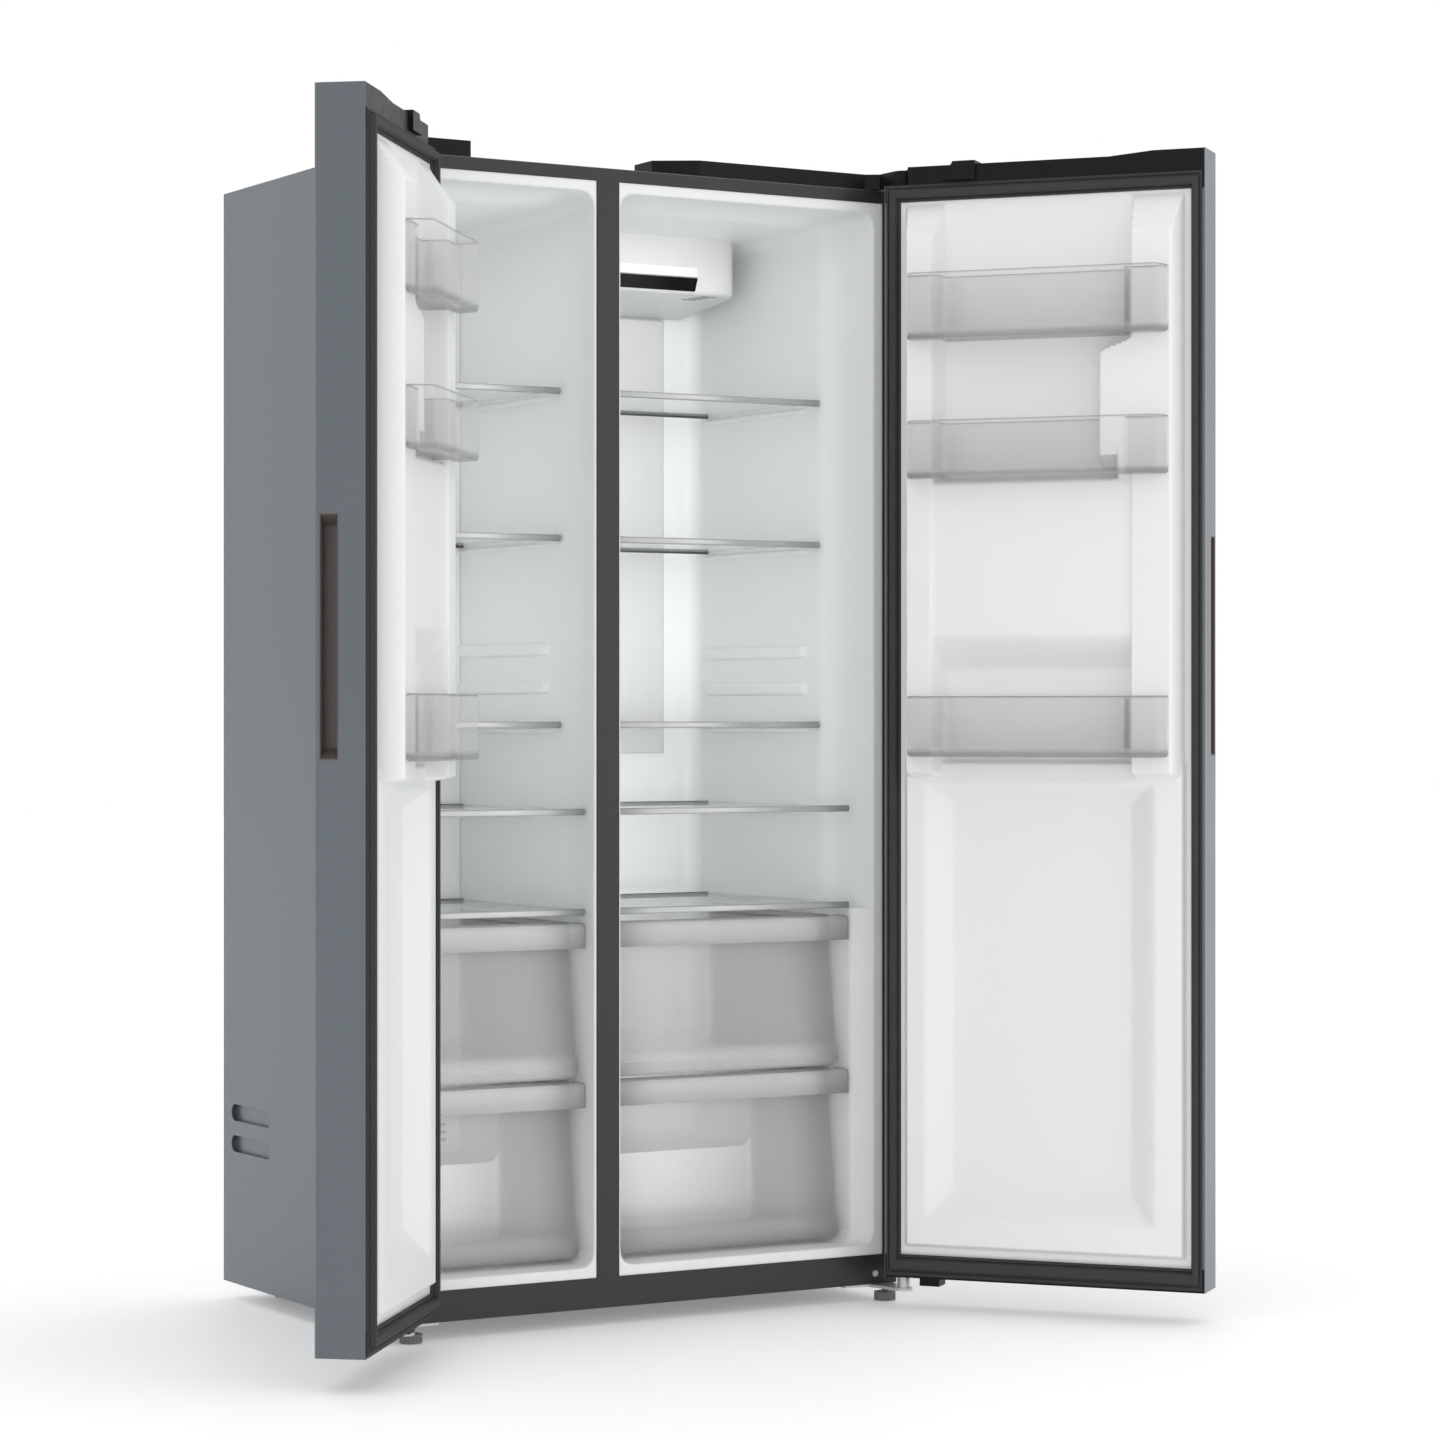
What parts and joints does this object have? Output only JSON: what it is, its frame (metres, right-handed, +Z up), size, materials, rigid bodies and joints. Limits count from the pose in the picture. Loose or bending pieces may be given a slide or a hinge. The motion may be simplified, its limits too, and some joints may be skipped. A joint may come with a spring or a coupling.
{
  "type": "side by side refrigerator",
  "caption": "Two-door side by side refrigerator with open doors, glass shelves, clear drawers and door bins, hinge covers, levelling feet and rear rollers.",
  "frame": {"origin": "on the floor, under the middle of the room the refrigerator takes up with both doors resting open: 35 mm to the right of the middle of the cabinet's width and 48 mm behind the front frame", "axes": "+X to the viewer's right facing the front, +Y to the back, +Z up"},
  "size_m": [1.459, 1.0352, 1.784],
  "materials": {
    "case_paint": "satin",
    "zinc_steel": "satin",
    "bare_steel": null,
    "foam": "matte",
    "frame_black": "satin",
    "black_plastic": "satin",
    "liner_white": "satin",
    "clear_plastic": "gloss",
    "shelf_glass": "gloss",
    "gasket_rubber": "matte",
    "handle_bronze": "satin",
    "coil_aluminium": null,
    "fan_plastic": "matte",
    "compressor_black": "satin",
    "board_green": "matte",
    "foot_grey": "matte"
  },
  "bodies": {
    "cabinet": {"outer_case": "case_paint", "rear_panel": "zinc_steel", "base_deck": "zinc_steel", "cabinet_foam": "foam", "front_frame": "frame_black", "mullion_cover": "frame_black", "freezer_liner": "liner_white", "fridge_liner": "liner_white", "evaporator_cover": "liner_white", "evaporator": "coil_aluminium", "control_housing": "liner_white", "display_panel": "black_plastic", "air_duct": "liner_white", "hinge_cover_left": "black_plastic", "hinge_cover_right": "black_plastic", "hinge_brackets": "bare_steel", "screws": "bare_steel", "compressor": "compressor_black", "condenser": "coil_aluminium", "drain_pan": "black_plastic", "machine_cover": "zinc_steel", "control_board": "board_green", "cord_gland": "gasket_rubber"},
    "freezer_door": {"freezer_door_skin": "case_paint", "freezer_door_caps": "black_plastic", "freezer_door_liner": "liner_white", "freezer_door_foam": "foam", "freezer_door_gasket": "gasket_rubber", "freezer_door_handle": "handle_bronze"},
    "fridge_door": {"fridge_door_skin": "case_paint", "fridge_door_caps": "black_plastic", "fridge_door_liner": "liner_white", "fridge_door_foam": "foam", "fridge_door_gasket": "gasket_rubber", "fridge_door_handle": "handle_bronze"},
    "freezer_bin_1": {"freezer_bin_1": "clear_plastic"},
    "freezer_bin_2": {"freezer_bin_2": "clear_plastic"},
    "freezer_bin_3": {"freezer_bin_3": "clear_plastic"},
    "freezer_drawer_lower": {"freezer_drawer_lower": "clear_plastic"},
    "freezer_drawer_upper": {"freezer_drawer_upper": "clear_plastic"},
    "freezer_shelf_1": {"freezer_shelf_1": "shelf_glass"},
    "freezer_shelf_2": {"freezer_shelf_2": "shelf_glass"},
    "freezer_shelf_3": {"freezer_shelf_3": "shelf_glass"},
    "freezer_shelf_4": {"freezer_shelf_4": "shelf_glass"},
    "freezer_shelf_5": {"freezer_shelf_5": "shelf_glass"},
    "fridge_bin_1": {"fridge_bin_1": "clear_plastic"},
    "fridge_bin_2": {"fridge_bin_2": "clear_plastic"},
    "fridge_bin_3": {"fridge_bin_3": "clear_plastic"},
    "fridge_drawer_lower": {"fridge_drawer_lower": "clear_plastic"},
    "fridge_drawer_upper": {"fridge_drawer_upper": "clear_plastic"},
    "fridge_shelf_1": {"fridge_shelf_1": "shelf_glass"},
    "fridge_shelf_2": {"fridge_shelf_2": "shelf_glass"},
    "fridge_shelf_3": {"fridge_shelf_3": "shelf_glass"},
    "fridge_shelf_4": {"fridge_shelf_4": "shelf_glass"},
    "fridge_shelf_5": {"fridge_shelf_5": "shelf_glass"},
    "foot_left": {"foot_left": "foot_grey"},
    "foot_right": {"foot_right": "foot_grey"},
    "rear_rollers": {"rear_rollers": "foot_grey"},
    "evaporator_fan": {"evaporator_fan": "fan_plastic"},
    "condenser_fan": {"condenser_fan": "fan_plastic"}
  },
  "joints": [
    {"name": "freezer_door_hinge", "type": "hinge", "parent": "cabinet", "child": "freezer_door", "pos_m": [-0.468, -0.101, 0.9], "axis": [0, 0, -1], "range_deg": [-130.2, 0]},
    {"name": "fridge_door_hinge", "type": "hinge", "parent": "cabinet", "child": "fridge_door", "pos_m": [0.398, -0.101, 0.9], "axis": [0, 0, 1], "range_deg": [-128.7, 0]},
    {"name": "freezer_bin_1_lift", "type": "slide", "parent": "freezer_door", "child": "freezer_bin_1", "axis": [0, 0, 1], "range_m": [0, 0.03]},
    {"name": "freezer_bin_2_lift", "type": "slide", "parent": "freezer_door", "child": "freezer_bin_2", "axis": [0, 0, 1], "range_m": [0, 0.03]},
    {"name": "freezer_bin_3_lift", "type": "slide", "parent": "freezer_door", "child": "freezer_bin_3", "axis": [0, 0, 1], "range_m": [0, 0.03]},
    {"name": "freezer_drawer_lower_slide", "type": "slide", "parent": "cabinet", "child": "freezer_drawer_lower", "axis": [0, -1, 0], "range_m": [0, 0.23]},
    {"name": "freezer_drawer_upper_slide", "type": "slide", "parent": "cabinet", "child": "freezer_drawer_upper", "axis": [0, -1, 0], "range_m": [0, 0.3]},
    {"name": "freezer_shelf_1_slide", "type": "slide", "parent": "cabinet", "child": "freezer_shelf_1", "axis": [0, -1, 0], "range_m": [0, 0.09]},
    {"name": "freezer_shelf_2_slide", "type": "slide", "parent": "cabinet", "child": "freezer_shelf_2", "axis": [0, -1, 0], "range_m": [0, 0.09]},
    {"name": "freezer_shelf_3_slide", "type": "slide", "parent": "cabinet", "child": "freezer_shelf_3", "axis": [0, -1, 0], "range_m": [0, 0.15]},
    {"name": "freezer_shelf_4_slide", "type": "slide", "parent": "cabinet", "child": "freezer_shelf_4", "axis": [0, -1, 0], "range_m": [0, 0.15]},
    {"name": "freezer_shelf_5_slide", "type": "slide", "parent": "cabinet", "child": "freezer_shelf_5", "axis": [0, -1, 0], "range_m": [0, 0.15]},
    {"name": "fridge_bin_1_lift", "type": "slide", "parent": "fridge_door", "child": "fridge_bin_1", "axis": [0, 0, 1], "range_m": [0, 0.03]},
    {"name": "fridge_bin_2_lift", "type": "slide", "parent": "fridge_door", "child": "fridge_bin_2", "axis": [0, 0, 1], "range_m": [0, 0.03]},
    {"name": "fridge_bin_3_lift", "type": "slide", "parent": "fridge_door", "child": "fridge_bin_3", "axis": [0, 0, 1], "range_m": [0, 0.03]},
    {"name": "fridge_drawer_lower_slide", "type": "slide", "parent": "cabinet", "child": "fridge_drawer_lower", "axis": [0, -1, 0], "range_m": [0, 0.23]},
    {"name": "fridge_drawer_upper_slide", "type": "slide", "parent": "cabinet", "child": "fridge_drawer_upper", "axis": [0, -1, 0], "range_m": [0, 0.3]},
    {"name": "fridge_shelf_1_slide", "type": "slide", "parent": "cabinet", "child": "fridge_shelf_1", "axis": [0, -1, 0], "range_m": [0, 0.09]},
    {"name": "fridge_shelf_2_slide", "type": "slide", "parent": "cabinet", "child": "fridge_shelf_2", "axis": [0, -1, 0], "range_m": [0, 0.09]},
    {"name": "fridge_shelf_3_slide", "type": "slide", "parent": "cabinet", "child": "fridge_shelf_3", "axis": [0, -1, 0], "range_m": [0, 0.15]},
    {"name": "fridge_shelf_4_slide", "type": "slide", "parent": "cabinet", "child": "fridge_shelf_4", "axis": [0, -1, 0], "range_m": [0, 0.15]},
    {"name": "fridge_shelf_5_slide", "type": "slide", "parent": "cabinet", "child": "fridge_shelf_5", "axis": [0, -1, 0], "range_m": [0, 0.15]},
    {"name": "foot_left_turn", "type": "hinge", "parent": "cabinet", "child": "foot_left", "pos_m": [-0.43, -0.042, 0.013], "axis": [0, 0, 1], "continuous": true},
    {"name": "foot_right_turn", "type": "hinge", "parent": "cabinet", "child": "foot_right", "pos_m": [0.401, -0.042, 0.013], "axis": [0, 0, 1], "continuous": true},
    {"name": "rear_rollers_roll", "type": "hinge", "parent": "cabinet", "child": "rear_rollers", "pos_m": [-0.035, 0.467, 0.018], "axis": [1, 0, 0], "continuous": true},
    {"name": "evaporator_fan_spin", "type": "hinge", "parent": "cabinet", "child": "evaporator_fan", "pos_m": [-0.26547, 0.4115, 0.597], "axis": [0, 1, 0], "continuous": true},
    {"name": "condenser_fan_spin", "type": "hinge", "parent": "cabinet", "child": "condenser_fan", "pos_m": [-0.095, 0.407, 0.0895], "axis": [1, 0, 0], "continuous": true}
  ]
}
